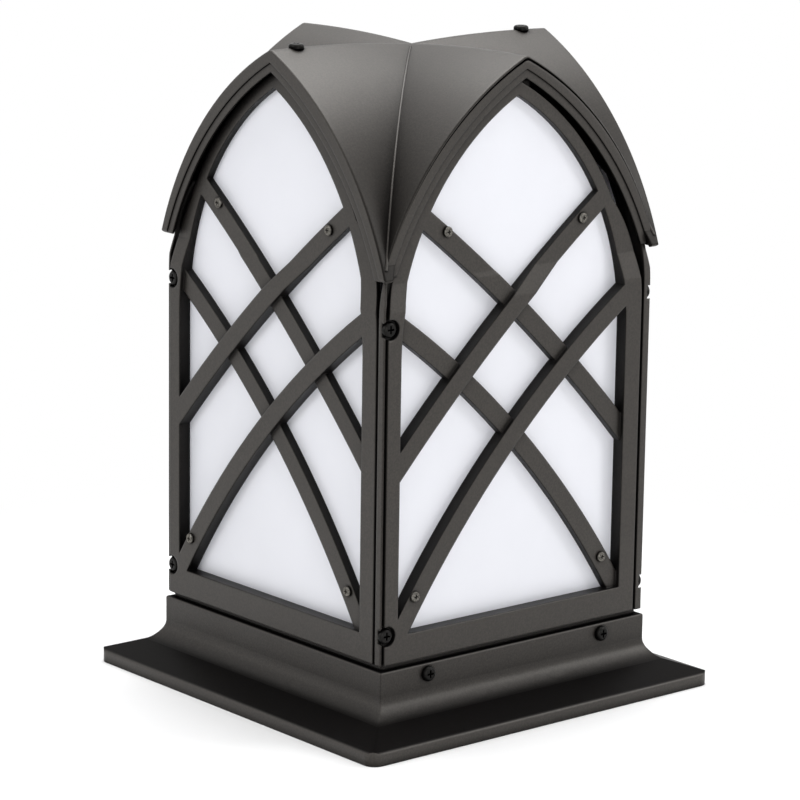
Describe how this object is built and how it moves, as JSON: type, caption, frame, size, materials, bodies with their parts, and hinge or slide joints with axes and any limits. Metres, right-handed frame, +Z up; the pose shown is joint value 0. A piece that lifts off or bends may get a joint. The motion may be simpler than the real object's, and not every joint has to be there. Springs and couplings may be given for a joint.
{
  "type": "post lantern",
  "caption": "Square arched post lantern with crossed tracery over opal panels and a vaulted hood.",
  "frame": {"origin": "middle of the base's underside, on the pier top", "axes": "+Z up, -Y towards the front panel, +X towards the right panel"},
  "size_m": [0.246, 0.246, 0.362],
  "materials": {
    "powder_coat": "satin, fine textured powder coat in dark bronze",
    "zinc_steel": "zinc plated, satin",
    "black_screws": "blackened steel, semi gloss",
    "zinc_screws": "zinc plated, satin",
    "green_screw": "green passivated steel",
    "opal_sheet": "opal white, soft gloss",
    "black_rubber": "matte",
    "white_ceramic": "glazed",
    "brass": "plain, slightly dull",
    "bulb_metal": "rolled, bright",
    "frosted_glass": "frosted white"
  },
  "bodies": {
    "body": {"base_skirt": "powder_coat", "mounting_plate": "zinc_steel", "skirt_screws": "black_screws", "base_tray": "powder_coat", "tray_screws": "zinc_screws", "foot_screws": "zinc_screws", "panel_front": "powder_coat", "panel_right": "powder_coat", "panel_back": "powder_coat", "panel_left": "powder_coat", "diffuser_front": "opal_sheet", "diffuser_right": "opal_sheet", "diffuser_back": "opal_sheet", "diffuser_left": "opal_sheet", "corner_screws": "black_screws", "diffuser_screws": "black_screws", "diffuser_nuts": "zinc_screws", "lamp_bracket": "zinc_steel", "bracket_screws": "zinc_screws", "lampholder": "white_ceramic", "socket_shell": "brass", "socket_contact": "brass", "ground_screw": "green_screw", "wire_bushing": "black_rubber"},
    "hood_body": {"hood": "powder_coat", "hood_screws": "black_screws"},
    "bulb": {"bulb_glass": "frosted_glass", "bulb_cap": "bulb_metal", "bulb_contact": "brass"}
  },
  "joints": [
    {"name": "hood_lift", "type": "slide", "parent": "body", "child": "hood_body", "axis": [0, 0, 1], "range_m": [0, 0.12]},
    {"name": "bulb_unscrew", "type": "slide", "parent": "body", "child": "bulb", "axis": [0, 0, 1], "range_m": [0, 0.04]}
  ]
}
